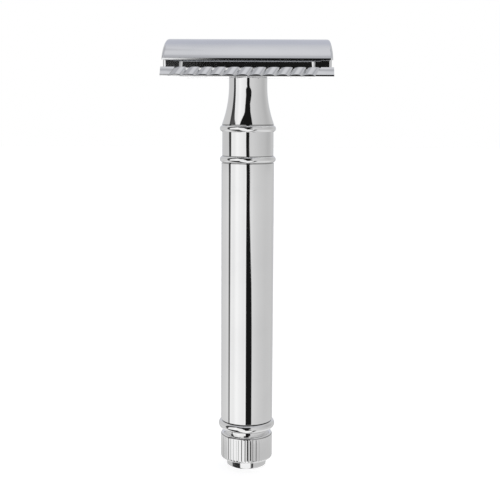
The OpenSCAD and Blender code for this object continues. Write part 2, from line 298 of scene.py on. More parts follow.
room = blended(sky, left_high, room, (0.47, 0.475, 0.50))
print("softbox and strips: %d nodes" % len(sky.nodes))

# %% [markdown]
# Under the razor the floor shows in the rounded edges: bright in front, with a dark patch on the left
# and a dark bar on the right. They could be cards on the floor, but as bands below the horizon they stay
# out of the picture. A dark strip low at the back gives the handle a core when it is seen from behind.
# The camera itself sees plain white.

# %% World: floor patches, back strip, background
PATCH_SOFT = 2.0
low = by_rise([(-90, 1.0), (-24, 1.0), (-21.5, 0.0), (90, 0.0)])
for start, stop, shade in ((-32, 24, 1.0), (-90, -37, 0.03), (29, 42, 0.05)):
    patch_mask = both(low, band(bearing(start), bearing(stop), PATCH_SOFT))
    room = blended(sky, patch_mask, room, grey(shade))
back_core = ramp(sky, turn, [(0.0, 1.0), (bearing(-171), 1.0), (bearing(-167), 0.0), (bearing(167), 0.0),
                             (bearing(171), 1.0), (1.0, 1.0)])
back_low = by_rise([(-90, 0.0), (-17.9, 0.0), (-16.9, 1.0), (-4, 1.0), (-2, 0.0), (90, 0.0)])
room = blended(sky, both(back_core, back_low), room, grey(0.04))
seen = blended(sky, node(sky, "ShaderNodeLightPath").outputs["Is Camera Ray"], room, grey(1.0))
background = node(sky, "ShaderNodeBackground")
sky.links.new(seen, background.inputs["Color"])
sky.links.new(background.outputs[0], node(sky, "ShaderNodeOutputWorld").inputs["Surface"])
bpy.context.scene.view_settings.view_transform = "Standard"
print("studio painted with %d nodes" % len(sky.nodes))

# %% [markdown]
# ## The floor
#
# The razor stands on white paper. Lit by the room alone the paper would turn grey, so it glows a little
# and stays white. Mirrors do not see it, because the painted room already holds what they show.

# %% Floor
FLOOR_HALF, FLOOR_LOW = 2.0, -0.0003
floor_mesh = bpy.data.meshes.new("floor")
floor_mesh.from_pydata([(sx * FLOOR_HALF, sy * FLOOR_HALF, FLOOR_LOW)
                        for sx, sy in ((-1, -1), (1, -1), (1, 1), (-1, 1))], [], [(0, 1, 2, 3)])
floor = bpy.data.objects.new("floor", floor_mesh)
bpy.context.scene.collection.objects.link(floor)
paper = bpy.data.materials.new("white_paper")
paper.use_nodes = True
paper_shader = paper.node_tree.nodes["Principled BSDF"]
paper_shader.inputs["Base Color"].default_value = (0.9, 0.9, 0.9, 1.0)
paper_shader.inputs["Roughness"].default_value = 0.9
paper_shader.inputs["Emission Color"].default_value = (1.0, 1.0, 1.0, 1.0)
paper_shader.inputs["Emission Strength"].default_value = 0.62
floor_mesh.materials.append(paper)
floor.visible_glossy = False
print("floor laid")

# %% [markdown]
# ## Shared finish: polishing lines
#
# A buffing wheel leaves very fine lines in chrome, all in one direction, and here and there a scratch.
# They could be painted as a picture, but a picture shows its seams on round pieces, so they are noise
# that is stretched along the polish. All the metal here shares them, so they are a node group. It gives
# out masks only, and each metal decides what a mask does to its roughness and its surface.


# %% Node group: polishing lines
def group(name, takes, gives):
    """A shader node group with named inputs and outputs; gives its tree and its two end nodes."""
    made = bpy.data.node_groups.new(name, "ShaderNodeTree")
    for socket, kind in takes.items():
        made.interface.new_socket(socket, in_out="INPUT", socket_type=kind)
    for socket in gives:
        made.interface.new_socket(socket, in_out="OUTPUT", socket_type="NodeSocketFloat")
    return made, node(made, "NodeGroupInput"), node(made, "NodeGroupOutput")


def place_on(tree):
    """The place of a point on its piece, in metres."""
    return node(tree, "ShaderNodeTexCoord").outputs["Object"]


def noise(tree, place, **inputs):
    """A noise texture at a place; gives its value."""
    made = node(tree, "ShaderNodeTexNoise")
    tree.links.new(place, made.inputs["Vector"])
    for name, value in inputs.items():
        feed(tree, made.inputs[name], value)
    return made.outputs["Fac"]


lines_group, lines_in, lines_out = group("polishing_lines", {"Stretch": "NodeSocketVector"},
                                         ("Lines", "Scratches"))
stretched = node(lines_group, "ShaderNodeVectorMath", operation="MULTIPLY")
lines_group.links.new(place_on(lines_group), stretched.inputs[0])
lines_group.links.new(lines_in.outputs["Stretch"], stretched.inputs[1])
fine = noise(lines_group, stretched.outputs[0], Scale=1.0, Detail=4.0, Roughness=0.6)
lines_group.links.new(fine, lines_out.inputs["Lines"])
sparse = noise(lines_group, stretched.outputs[0], Scale=2.3, Detail=2.0)
scratch = ramp(lines_group, sparse, [(0.0, 0.0), (0.66, 0.0), (0.72, 1.0), (1.0, 1.0)])
lines_group.links.new(scratch, lines_out.inputs["Scratches"])
print("%s: %d nodes" % (lines_group.name, len(lines_group.nodes)))

# %% [markdown]
# ### Handling marks
#
# Fingers leave broad dull patches, which are only seen where a highlight runs across them. They could be
# placed one by one, but no two razors have the same ones, so slow noise with a little swirl gives their
# shape, and a ramp keeps most of the surface clean.

# %% Node group: handling marks
marks_group, marks_in, marks_out = group("handling_marks", {"Size": "NodeSocketFloat"}, ("Marks",))
slow = noise(marks_group, place_on(marks_group), Scale=marks_in.outputs["Size"], Detail=3.0, Distortion=0.6)
patch = ramp(marks_group, slow, [(0.0, 0.0), (0.42, 0.0), (0.68, 1.0), (1.0, 1.0)])
marks_group.links.new(patch, marks_out.inputs["Marks"])
print("%s: %d nodes" % (marks_group.name, len(marks_group.nodes)))

# %% [markdown]
# ### Dark corners: painted shade
#
# Where two turned forms meet, the colour is darkened in a hair-fine line of painted shade, for the shade
# that falls in the corner: over the upper bead, under and over the lower one, at the foot of the tube
# and round the knob's shoulder. It could be cut as a groove, but so narrow a groove would need a far
# denser mesh. All these corners run level round the handle, so a mask by height draws them.

# %% Node group: painted shade in corners
# Where the lines of painted shade lie and how far each reaches.
BEAD_CORNER, SHOULDER_LINE, CORNER_REACH = 1.85, 0.42, 0.16
CORNER_HEIGHTS = (FLARE_Z, COLLAR_Z + BEAD_CORNER, COLLAR_Z, TUBE_Z, SHOULDER_Z - SHOULDER_LINE)
corners_group, corners_in, corners_out = group("painted_corner_shade", {"Reach": "NodeSocketFloat"}, ("Corners",))
up = node(corners_group, "ShaderNodeSeparateXYZ")
corners_group.links.new(place_on(corners_group), up.inputs[0])
corner_mask = 0.0
for corner_z in CORNER_HEIGHTS:
    over = math_node(corners_group, "SUBTRACT", up.outputs["Z"], corner_z * MM)
    off = math_node(corners_group, "ABSOLUTE", over)
    share = math_node(corners_group, "DIVIDE", off, corners_in.outputs["Reach"])
    near = math_node(corners_group, "SUBTRACT", 1.0, share)
    corner_mask = math_node(corners_group, "MAXIMUM", corner_mask, near)
corners_group.links.new(corner_mask, corners_out.inputs["Corners"])
print("%s at %s mm" % (corners_group.name, CORNER_HEIGHTS))

# %% [markdown]
# ## The metals
#
# One function makes every metal here, because they differ only in colour, in how smooth they are and
# in which way they were polished. Turned pieces are polished round and round, so their lines are
# short along the handle and long around it. The cap is polished along its length.

# %% Metal maker
# The second value is the grey that the painted shade in the handle's corners darkens towards.
RELIEF_DEPTH, CORNER_SHADE_GREY = 0.00002, (0.10, 0.10, 0.10)
LINE_SHARE, MARK_SHARE = 0.45, 0.55


def metal(name, bright, dull, smooth, rough, stretch, marks_size, relief, corner_shade=0.0):
    """A metal: two colours, two roughnesses, stretch of its lines, size of its marks, relief, painted corner
    shade.
    """
    made = bpy.data.materials.new(name)
    made.use_nodes = True
    tree = made.node_tree
    shader = tree.nodes["Principled BSDF"]
    shader.inputs["Metallic"].default_value = 1.0
    lines = node(tree, "ShaderNodeGroup", node_tree=lines_group)
    lines.inputs["Stretch"].default_value = stretch
    marks = node(tree, "ShaderNodeGroup", node_tree=marks_group)
    marks.inputs["Size"].default_value = marks_size
    fine_share = math_node(tree, "MULTIPLY", lines.outputs["Lines"], LINE_SHARE)
    worn = math_node(tree, "MULTIPLY_ADD", marks.outputs["Marks"], MARK_SHARE, fine_share)
    colour = blended(tree, worn, bright, dull)
    # Painted shade: thin dark lines in the colour where the handle's turned forms meet.
    if corner_shade:
        corners = node(tree, "ShaderNodeGroup", node_tree=corners_group)
        corners.inputs["Reach"].default_value = CORNER_REACH * MM
        painted_shade = math_node(tree, "MULTIPLY", corners.outputs["Corners"], corner_shade)
        colour = blended(tree, painted_shade, colour, CORNER_SHADE_GREY)
    tree.links.new(colour, shader.inputs["Base Color"])
    gloss = node(tree, "ShaderNodeMapRange")
    gloss.inputs["To Min"].default_value = smooth
    gloss.inputs["To Max"].default_value = rough
    tree.links.new(worn, gloss.inputs["Value"])
    tree.links.new(gloss.outputs["Result"], shader.inputs["Roughness"])
    bump = node(tree, "ShaderNodeBump")
    bump.inputs["Strength"].default_value = relief
    bump.inputs["Distance"].default_value = RELIEF_DEPTH
    raised = math_node(tree, "SUBTRACT", lines.outputs["Lines"], lines.outputs["Scratches"])
    tree.links.new(raised, bump.inputs["Height"])
    tree.links.new(bump.outputs["Normal"], shader.inputs["Normal"])
    print("%s: %d nodes" % (name, len(tree.nodes)))
    return made


# %% [markdown]
# The handle is polished to a mirror, the cap and the guard plate a little less. The blade is ground
# steel, darker than chrome, and its colour is darker still as painted shade for the shadow under the
# cap's lip. The stud and the tie rod are plain turned metal.

# %% The razor's metals
# The handle's metal carries the painted shade in its corners.
handle_chrome = metal("handle_chrome", (0.90, 0.90, 0.90), (0.84, 0.84, 0.845), 0.02, 0.06,
                      (300, 300, 9000), 60.0, 0.03, corner_shade=0.85)
cap_chrome = metal("cap_chrome", (0.89, 0.893, 0.90), (0.82, 0.825, 0.84), 0.04, 0.09,
                   (120, 5000, 5000), 70.0, 0.015)
plate_chrome = metal("plate_chrome", (0.88, 0.885, 0.89), (0.81, 0.815, 0.825), 0.04, 0.09,
                     (400, 4000, 4000), 90.0, 0.015)
stud_steel = metal("stud_steel", (0.72, 0.72, 0.73), (0.58, 0.58, 0.60), 0.18, 0.34,
                   (500, 500, 9000), 150.0, 0.15)
# Painted shade: the blade's colours sit below those of bare steel, for the shade under the cap's lip.
blade_steel = metal("blade_steel", (0.34, 0.35, 0.37), (0.27, 0.28, 0.30), 0.18, 0.30,
                    (90, 9000, 9000), 120.0, 0.15)
rod_brass = metal("rod_brass", (0.83, 0.66, 0.34), (0.66, 0.49, 0.22), 0.20, 0.38,
                  (6000, 6000, 200), 90.0, 0.15)

# %% [markdown]
# ## Turned pieces
#
# The neck, the tube, the ring and the knob come off a lathe. A lathe piece can be made with the Screw
# modifier, but then every corner has to be softened by a second modifier. Here the outline itself has
# its corners eased before it is turned, so the light runs round each edge as on polished metal. A point
# is kept just before and just after each rounding, which holds the flat sides flat when they are shaded.

# %% Outlines with eased corners
SIDE_SHARE, HOLD = 0.42, 1.12


def eased(corners, steps=6, closed=False):
    """Rounds the corners of an outline. Each corner is (radius, height, rounding) in millimetres."""
    out = []
    count = len(corners)
    for i, (x, y, r) in enumerate(corners):
        at_end = not closed and i in (0, count - 1)
        if r <= 0 or at_end:
            out.append((x, y))
            continue
        ax, ay = corners[i - 1][:2]
        bx, by = corners[(i + 1) % count][:2]
        la, lb = math.hypot(ax - x, ay - y), math.hypot(bx - x, by - y)
        ux, uy, vx, vy = (ax - x) / la, (ay - y) / la, (bx - x) / lb, (by - y) / lb
        half = math.acos(max(-1.0, min(1.0, ux * vx + uy * vy))) / 2
        cut = min(r / math.tan(half), SIDE_SHARE * la, SIDE_SHARE * lb)
        reach = cut * math.tan(half)
        mx, my = ux + vx, uy + vy
        ml = math.hypot(mx, my)
        cx, cy = x + mx / ml * cut / math.cos(half), y + my / ml * cut / math.cos(half)
        a0 = math.atan2(y + uy * cut - cy, x + ux * cut - cx)
        a1 = math.atan2(y + vy * cut - cy, x + vx * cut - cx)
        sweep = (a1 - a0 + math.pi) % (2 * math.pi) - math.pi
        hold = cut * HOLD
        out.append((x + ux * hold, y + uy * hold))
        out += [(cx + reach * math.cos(a0 + sweep * k / steps), cy + reach * math.sin(a0 + sweep * k / steps))
                for k in range(steps + 1)]
        out.append((x + vx * hold, y + vy * hold))
    return out


def arc(cx, cy, r, start, stop, steps):
    """Points on an arc, with angles in degrees."""
    turns = [math.radians(start + (stop - start) * k / steps) for k in range(steps + 1)]
    return [(cx + r * math.cos(t), cy + r * math.sin(t)) for t in turns]


print("an eased corner has %d points" % (len(eased([(1, 0, 0), (1, 1, 0.1), (0, 1, 0)])) - 2))

# %% [markdown]
# A mesh becomes a piece in three steps: its doubled points are joined, its faces are shaded smooth, and
# edges that are sharper than a set angle are kept crisp. Blender has an operator for the last, but an
# operator needs the piece to be selected; marking the edges directly always does the same thing.

# %% From points to pieces
SAME_PLACE, SHARP = 1e-7, 35.0


def crisp(mesh, sharp):
    """Joins doubled points and shades a mesh smooth, apart from corners over the sharp angle."""
    shape = bmesh.new()
    shape.from_mesh(mesh)
    bmesh.ops.remove_doubles(shape, verts=shape.verts, dist=SAME_PLACE)
    bmesh.ops.dissolve_degenerate(shape, edges=shape.edges, dist=SAME_PLACE)
    bmesh.ops.recalc_face_normals(shape, faces=shape.faces)
    for face in shape.faces:
        face.smooth = True
    for edge in shape.edges:
        edge.smooth = len(edge.link_faces) == 2 and edge.calc_face_angle() < math.radians(sharp)
    shape.to_mesh(mesh)
    shape.free()


def piece(name, points, faces, finish, sharp=SHARP):
    """A mesh object from points in millimetres, with one metal."""
    mesh = bpy.data.meshes.new(name)
    mesh.from_pydata([(x * MM, y * MM, z * MM) for x, y, z in points], [], faces)
    crisp(mesh, sharp)
    mesh.materials.append(finish)
    made = bpy.data.objects.new(name, mesh)
    bpy.context.scene.collection.objects.link(made)
    return made


def dress(made, body, slot, *nodes):
    """The piece moves with a body and stands for CAD nodes, which it hides; slot is not used."""
    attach(made, body)
    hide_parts(*nodes)
    print("%s: %d faces" % (made.name, len(made.data.polygons)))
    return made


# %% [markdown]
# ### Tube
#
# A drawn tube, polished to a mirror. It is an outline turned about the handle's axis, as all the pieces
# of the handle are. Its two ends are eased by a tenth of a millimetre, which leaves a fine groove where
# it meets the collar and the ring.

# %% Lathe and tube
TUBE_R, BORE_R, TUBE_EASE, ON_AXIS = 7.0, 6.0, 0.12, 1e-6


def lathe(outline, around=192, ring_wise=None, closed=False):
    """Points and faces of an outline turned about the handle's axis."""
    points, faces, rows = [], [], []
    for r, z in outline:
        if r < ON_AXIS:
            rows.append([len(points)] * around)
            points.append((0.0, 0.0, z))
            continue
        rows.append(list(range(len(points), len(points) + around)))
        for k in range(around):
            a = 2 * math.pi * k / around
            rr = ring_wise(a, r, z) if ring_wise else r
            points.append((rr * math.sin(a), -rr * math.cos(a), z))
    pairs = list(zip(rows, rows[1:])) + ([(rows[-1], rows[0])] if closed else [])
    for low_row, high_row in pairs:
        for k in range(around):
            n = (k + 1) % around
            ring = [low_row[k], low_row[n], high_row[n], high_row[k]]
            face = [v for j, v in enumerate(ring) if v not in ring[:j]]
            if len(face) > 2:
                faces.append(face)
    return points, faces


tube_outline = eased([(BORE_R, TUBE_Z, TUBE_EASE), (TUBE_R, TUBE_Z, TUBE_EASE),
                      (TUBE_R, COLLAR_Z, TUBE_EASE), (BORE_R, COLLAR_Z, TUBE_EASE)], closed=True)
handle_tube = piece("smooth_tube", *lathe(tube_outline, closed=True), handle_chrome)
dress(handle_tube, "handle", "handle_chrome", "handle_tube")

# %% [markdown]
# ### Neck
#
# One turned piece: a straight throat under the head, a long hollow flare, two half-round beads and the
# plain band between them. It could be stacked from rings and cones, but every joint would show in the
# polish, so it is one outline, in which the beads are true arcs that meet the band at a crisp line.
# Inside, it has a spigot for the tube and a hole at each end, one for the stud and one for the tie rod.

# %% Neck
SPIGOT_GAP, SPIGOT_LEN = 0.02, 6.5
SPIGOT_R = BORE_R - SPIGOT_GAP
ROD_HOLE_R, ROD_ENGAGE = 2.05, 6.0
STUD_HOLE_R, STUD_HOLE_Z = 2.55, 96.2
THROAT_R, FLARE_END_R = 5.06, 6.95
THROAT_PLAIN, THROAT_EASE, HOLE_EASE = 0.2, 0.15, 0.2
FLARE_IN = FLARE_END_R - THROAT_R
FLARE_R = ((THROAT_Z - FLARE_Z) ** 2 + FLARE_IN ** 2) / (2 * FLARE_IN)
BEAD_H, BEAD_R, BEAD_OUT, BAND_R = 2.0, 0.9, 7.45, 6.83
BEAD_IN = BEAD_OUT - BEAD_R
bead_half = math.degrees(math.acos((BAND_R - BEAD_IN) / BEAD_R))


def bead(z):
    """Half-round bead on the band that starts at height z."""
    return arc(BEAD_IN, z + BEAD_H / 2, BEAD_R, -bead_half, bead_half, 20)


flare_low = math.degrees(math.asin((THROAT_Z - FLARE_Z) / FLARE_R))
flare = arc(THROAT_R + FLARE_R, THROAT_Z, FLARE_R, 180 + flare_low, 180, 48)
spigot_z = COLLAR_Z - SPIGOT_LEN
rod_top = spigot_z + ROD_ENGAGE
neck_outline = ([(0.0, rod_top), (ROD_HOLE_R, rod_top), (ROD_HOLE_R, spigot_z), (SPIGOT_R, spigot_z),
                 (SPIGOT_R, COLLAR_Z), (BAND_R, COLLAR_Z)] + bead(COLLAR_Z) + bead(UPPER_BEAD_Z)
                + [(BAND_R, FLARE_Z)] + flare
                + eased([(THROAT_R, THROAT_Z + THROAT_PLAIN, 0), (THROAT_R, PLATE_Z, THROAT_EASE),
                         (STUD_HOLE_R, PLATE_Z, HOLE_EASE), (STUD_HOLE_R, STUD_HOLE_Z, 0),
                         (0.0, STUD_HOLE_Z, 0)]))
neck = piece("beaded_neck", *lathe(neck_outline), handle_chrome)
dress(neck, "handle", "handle_chrome", "neck")

# %% [markdown]
# ### End ring
#
# A half-round ring that closes the tube, with a spigot inside it. Only the round edge shows. A torus
# would give that edge alone; turning the whole outline gives the spigot and the rod's hole as well.

# %% End ring
RING_H, RING_EDGE_R, RING_R, ROD_PASS_R = 2.5, 1.15, 7.65, 2.4
RING_IN = RING_R - RING_EDGE_R
ring_outline = ([(ROD_PASS_R, RING_Z), (RING_IN, RING_Z)]
                + arc(RING_IN, RING_Z + RING_H / 2, RING_EDGE_R, -90, 90, 28)
                + [(RING_IN, TUBE_Z), (SPIGOT_R, TUBE_Z), (SPIGOT_R, TUBE_Z + SPIGOT_LEN),
                   (ROD_PASS_R, TUBE_Z + SPIGOT_LEN)])
end_ring = piece("bead_ring", *lathe(ring_outline, closed=True), handle_chrome)
dress(end_ring, "handle", "handle_chrome", "end_ring")

# %% [markdown]
# ### Knob
#
# The grip at the end of the handle: a narrow waist, a rounded shoulder, a band of fine upright flutes
# and a smooth foot. The flutes could be cut by forty-eight Booleans. It is simpler and cleaner to turn
# the outline with many points around and pull each point in to the wall of the nearest flute.

# %% Knob
FLUTES, FLUTE_R, FLUTE_DEPTH, FLUTE_POINTS, KNOB_R = 48, 0.55, 0.065, 20, 7.05
KNOB_LOW_R, KNOB_HIGH_R, WAIST_R = 0.8, 0.8, 5.7
LOW_SWEEP, HIGH_SWEEP, GRIP_ROWS, KNOB_SHARP = 86, 88, 6, 18.0
FOOT_FLAT_R, FOOT_R, FOOT_LOW_R, FOOT_EDGE_R = 1.0, 5.45, 5.35, 0.5
flute_centre = KNOB_R - FLUTE_DEPTH + FLUTE_R


def fluted(a, r, z):
    """Radius at angle a: the outline's own, or the flute's wall where that is nearer the axis."""
    pitch = 2 * math.pi / FLUTES
    off = (a / pitch + 0.5) % 1.0 - 0.5
    side = flute_centre * math.sin(off * pitch)
    if abs(side) >= FLUTE_R:
        return r
    wall = flute_centre * math.cos(off * pitch) - math.sqrt(FLUTE_R ** 2 - side ** 2)
    return min(r, wall)


grip_low, grip_high = KNOB_Z + KNOB_LOW_R, SHOULDER_Z - KNOB_HIGH_R
grip = (arc(KNOB_R - KNOB_LOW_R, grip_low, KNOB_LOW_R, -LOW_SWEEP, 0, 16)
        + [(KNOB_R, grip_low + (grip_high - grip_low) * k / GRIP_ROWS) for k in range(1, GRIP_ROWS)]
        + arc(KNOB_R - KNOB_HIGH_R, grip_high, KNOB_HIGH_R, 0, HIGH_SWEEP, 14))
foot = [(0.0, 0.0)] + eased([(FOOT_FLAT_R, 0.0, 0), (FOOT_LOW_R, 0.0, FOOT_EDGE_R), (FOOT_R, KNOB_Z, 0)],
                            steps=12)
rod_low = RING_Z - ROD_ENGAGE
knob_outline = (foot + grip + [(WAIST_R, SHOULDER_Z), (WAIST_R, RING_Z), (ROD_HOLE_R, RING_Z),
                               (ROD_HOLE_R, rod_low), (0.0, rod_low)])
knob_mesh = lathe(knob_outline, around=FLUTES * FLUTE_POINTS, ring_wise=fluted)
knob = piece("fluted_knob", *knob_mesh, handle_chrome, sharp=KNOB_SHARP)
dress(knob, "handle", "handle_chrome", "knob")

# %% [markdown]
# ## The cap
#
# A solid crown with an upright lip along each long side. Its outline across the head is an arc over a
# second, flatter arc that fits the blade. A half cylinder would be nearer to hand, but its ends and its
# lips would have to be cut and softened afterwards.

# %% Cap: outline across the head
CAP_HALF, CREST_Z, EDGE_SHOWN, LIP_H = 21.8, 115.7, 0.3, 0.45
CROWN_EASE, UNDER_EASE, CROWN_STEPS, UNDER_STEPS = 0.06, 0.01, 72, 48
CAP_Y = EDGE_Y - EDGE_SHOWN
LIP_Z = BEND_Z + math.sqrt(UNDER_R ** 2 - CAP_Y ** 2)
CROWN_RISE = CREST_Z - LIP_Z - LIP_H
CROWN_R = (CAP_Y ** 2 + CROWN_RISE ** 2) / (2 * CROWN_RISE)


def cap_outline():
    """Outline of the cap across the head, from one lip over the crown to the other and back beneath."""
    crown_half = math.degrees(math.asin(CAP_Y / CROWN_R))
    crown = arc(0, CREST_Z - CROWN_R, CROWN_R, 90 - crown_half, 90 + crown_half, CROWN_STEPS)
    under_half = math.degrees(math.asin(CAP_Y / UNDER_R))
    under = arc(0, BEND_Z, UNDER_R, 90 + under_half, 90 - under_half, UNDER_STEPS)
    corners = ([(*crown[0], CROWN_EASE)] + [(*p, 0) for p in crown[2:-2]] + [(*crown[-1], CROWN_EASE)]
               + [(*under[0], UNDER_EASE)] + [(*p, 0) for p in under[2:-2]] + [(*under[-1], UNDER_EASE)])
    return eased(corners, steps=4, closed=True)


print("crown of %.2f mm radius over lips at %.2f mm" % (CROWN_R, LIP_Z))

# %% [markdown]
# The outline is drawn out along the head, station by station. The last stations at each end shrink a
# little and lean in, so the ends are softly rounded instead of cut off. An end that leans is not flat,
# so one face cannot close it well: it is zipped shut with triangles between the crown and the underside.

# %% Cap: drawn along the head
CAP_LEAN, LEAN_POWER, END_R, END_IN, END_DROP, END_BLEND, END_STEPS = 0.6, 2.2, 0.7, 0.3, 0.4, 0.2, 10


def skin(base, rows, count):
    """Four-sided faces between neighbouring rows of points; each row is a closed loop of count points."""
    faces = []
    for low_row in range(base, base + (rows - 1) * count, count):
        high_row = low_row + count
        for k in range(count):
            n = (k + 1) % count
            faces.append((low_row + k, low_row + n, high_row + n, high_row + k))
    return faces


def end_faces(outline):
    """Triangles that close an end of the cap, zipped between its crown and its underside."""
    parting = [BEND_Z + math.sqrt((UNDER_R + LIP_H / 2) ** 2 - y * y) for y, z in outline]
    crown = [k for k, (y, z) in enumerate(outline) if z > parting[k]]
    under = [k for k in reversed(range(len(outline))) if k not in crown]
    faces, i, j = [], 0, 0
    while i + 1 < len(crown) or j + 1 < len(under):
        past = i + 1 == len(crown)
        if past or (j + 1 < len(under) and outline[under[j + 1]][0] > outline[crown[i + 1]][0]):
            faces.append((crown[i], under[j + 1], under[j]))
            j += 1
        else:
            faces.append((crown[i], crown[i + 1], under[j]))
            i += 1
    return faces


def drawn_along(outline, stations):
    """Points and faces of an outline in (y, z) placed at each station (x, narrowing, lowering, lean)."""
    points, count = [], len(outline)
    for x, narrow, lower, lean in stations:
        for y, z in outline:
            share = max(0.0, z - LIP_Z) / (CREST_Z - LIP_Z)
            points.append((x - lean * share ** LEAN_POWER, y * (1 - narrow / CAP_Y), z - lower * share))
    faces = skin(0, len(stations), count)
    last = (len(stations) - 1) * count
    faces += [tuple(start + k for k in face) for start in (0, last) for face in end_faces(outline)]
    return points, faces


end_turns = [math.pi / 2 * k / END_STEPS for k in range(END_STEPS + 1)]
right = [(CAP_HALF - END_R + END_R * math.sin(t), END_IN * (1 - math.cos(t)), END_DROP * (1 - math.cos(t)),
          CAP_LEAN) for t in end_turns]
right = [(CAP_HALF - END_R - END_BLEND, 0, 0, CAP_LEAN)] + right
left = [(-x, narrow, lower, -lean) for x, narrow, lower, lean in reversed(right)]
stations = left + [(x, 0, 0, 0) for x in range(-18, 19, 6)] + right
top_cap = piece("curved_cap", *drawn_along(cap_outline(), stations), cap_chrome)
print("cap drawn along %d stations" % len(stations))

# %% [markdown]
# Two pegs are cast on the underside of the crown and keep blade and plate in line. They could stay loose
# shapes that only poke into the crown, but the real cap is one casting, so they are joined to it with
# a Boolean, which is applied at once so that the cap is a plain closed mesh.

# %% Cap: pegs
PEG_X, PEG_R, PEG_EASE, PEG_SHORT, PEG_ROOT = 13.0, 1.9, 0.06, 0.02, 0.8
PEG_Z, PEG_TOP = PLATE_Z + PEG_SHORT, BED_Z + PEG_ROOT


def add_turned(points, faces, outline, x0, around=48):
    """Adds an upright turned shape at x0 to a list of points and faces."""
    more, rings = lathe(outline, around)
    base = len(points)
    points += [(x + x0, y, z) for x, y, z in more]
    faces += [tuple(v + base for v in f) for f in rings]


def combine(made, operation, tool, sharp=SHARP):
    """Applies one Boolean to a piece, takes the tool away and shades the result afresh."""
    change = made.modifiers.new("combine", "BOOLEAN")
    change.operation, change.solver, change.object = operation, "EXACT", tool
    change.use_self = True
    bpy.context.view_layer.update()
    mesh = bpy.data.meshes.new_from_object(made.evaluated_get(bpy.context.evaluated_depsgraph_get()))
    made.modifiers.clear()
    made.data = mesh
    bpy.data.objects.remove(tool)
    crisp(mesh, sharp)


peg_points, peg_faces = [], []
for side in (-1, 1):
    peg = eased([(0.0, PEG_Z, 0), (PEG_R, PEG_Z, PEG_EASE), (PEG_R, PEG_TOP, 0), (0.0, PEG_TOP, 0)])
    add_turned(peg_points, peg_faces, peg, side * PEG_X)
combine(top_cap, "UNION", piece("pegs", peg_points, peg_faces, cap_chrome))
dress(top_cap, "cap", "cap_chrome", "top_cap")

# %% [markdown]
# ## The stud
#
# The stud carries the cap and screws into the neck. A thread can be made with a Screw modifier on a
# small profile. Here it is one surface whose radius goes up and down with angle and height, so the
# thread starts and ends in the plain shank without a seam.

# %% Stud
STUD_R, STUD_LOW, THREAD_TOP, STUD_TOP, SHANK_LEN = 2.5, 96.6, 111.6, 114.5, 1.5
PITCH, THREAD_DEPTH, CREST_SHARE, FLANK_SHARE, ROWS_A_TURN = 0.8, 0.43, 0.07, 0.33, 12
TIP_IN, TIP_H, FADE_START, FADE_RUN = 0.5, 0.3, 0.2, 0.4


def thread(a, r, z):
    """Radius of the right-hand thread at an angle and a height."""
    if r < STUD_R - 0.01 or z > THREAD_TOP:
        return r
    phase = (z / PITCH - a / (2 * math.pi)) % 1.0
    flank = min(1.0, max(0.0, (abs(phase - 0.5) - CREST_SHARE) / FLANK_SHARE))
    fade = min(1.0, (THREAD_TOP - z) / PITCH, (z - STUD_LOW + FADE_START) / FADE_RUN)
    return r - THREAD_DEPTH * flank * fade


thread_rows = int((THREAD_TOP - STUD_LOW) / PITCH * ROWS_A_TURN) + 1
stud_outline = ([(0.0, STUD_LOW), (STUD_R - TIP_IN, STUD_LOW)]
                + [(STUD_R, STUD_LOW + TIP_H + k * PITCH / ROWS_A_TURN) for k in range(thread_rows)]
                + [(STUD_R, STUD_TOP - SHANK_LEN), (STUD_R, STUD_TOP), (0.0, STUD_TOP)])
stud = piece("threaded_stud", *lathe(stud_outline, around=60, ring_wise=thread), stud_steel)
dress(stud, "cap", "stud_steel", "cap_stud")

# %% [markdown]
# ## The blade
#
# A strip of hardened steel a tenth of a millimetre thick, ground to an edge on both long sides, with a
# slot and three holes. It could be cut out of a bent sheet by Booleans. It is cut flat instead, as the
# real one is stamped: a grid of small cells, of which those that hold steel are kept, with the grid's
# points drawn onto the rims of the round holes.

# %% Blade: stamped flat
BLADE_HALF, TAB_X, TAB_Y, BLADE_SLOT_Y, BLADE_SLOT_X, CELL = 21.5, 18.75, 7.5, 1.5, 16.8, 0.25
STUD_PASS_R, PEG_PASS_R, RIM_IN, RIM_OUT = 2.8, 2.1, 0.22, 0.16
BLADE_HOLES = ((0.0, STUD_PASS_R), (PEG_X, PEG_PASS_R), (-PEG_X, PEG_PASS_R))


def blade_flat(x, s):
    """True where the flat blade has steel: x along it, s across it."""
    if abs(x) > TAB_X and abs(s) > TAB_Y:
        return False
    if abs(s) < BLADE_SLOT_Y and abs(x) < BLADE_SLOT_X:
        return False
    return min(math.hypot(x - cx, s) - r for cx, r in BLADE_HOLES) > 0


def keep_out(x, s):
    """Moves a flat point onto the rim of a hole when it is just inside or just outside it."""
    for cx, r in BLADE_HOLES:
        d = math.hypot(x - cx, s)
        if r - RIM_IN < d < r + RIM_OUT:
            return cx + (x - cx) * r / d, s * r / d
    return x, s


blade_xs = sorted({round(-BLADE_HALF + CELL * k, 3) for k in range(int(2 * BLADE_HALF / CELL) + 1)}
                  | {TAB_X, -TAB_X, BLADE_SLOT_X, -BLADE_SLOT_X})
blade_ss = [-BLADE_W / 2 + CELL * k for k in range(int(BLADE_W / CELL) + 1)]
steel = {(i, j) for i in range(len(blade_xs) - 1) for j in range(len(blade_ss) - 1)
         if blade_flat((blade_xs[i] + blade_xs[i + 1]) / 2, (blade_ss[j] + blade_ss[j + 1]) / 2)}
print("blade of %d steel cells" % len(steel))

# %% [markdown]
# Then the strip is bent over the bed: what was measured across the blade becomes an angle. A bending
# modifier does the same, but by rule the strip fits between bed and cap to a hundredth of a millimetre.
# Each cell gets a top and a bottom face, and a wall where it has no neighbour.

# %% Blade: bent
GROUND, EDGE_SHARE = 0.9, 0.1
NEIGHBOURS = ((0, -1), (1, 0), (0, 1), (-1, 0))
blade_points, blade_faces, blade_index = [], [], {}


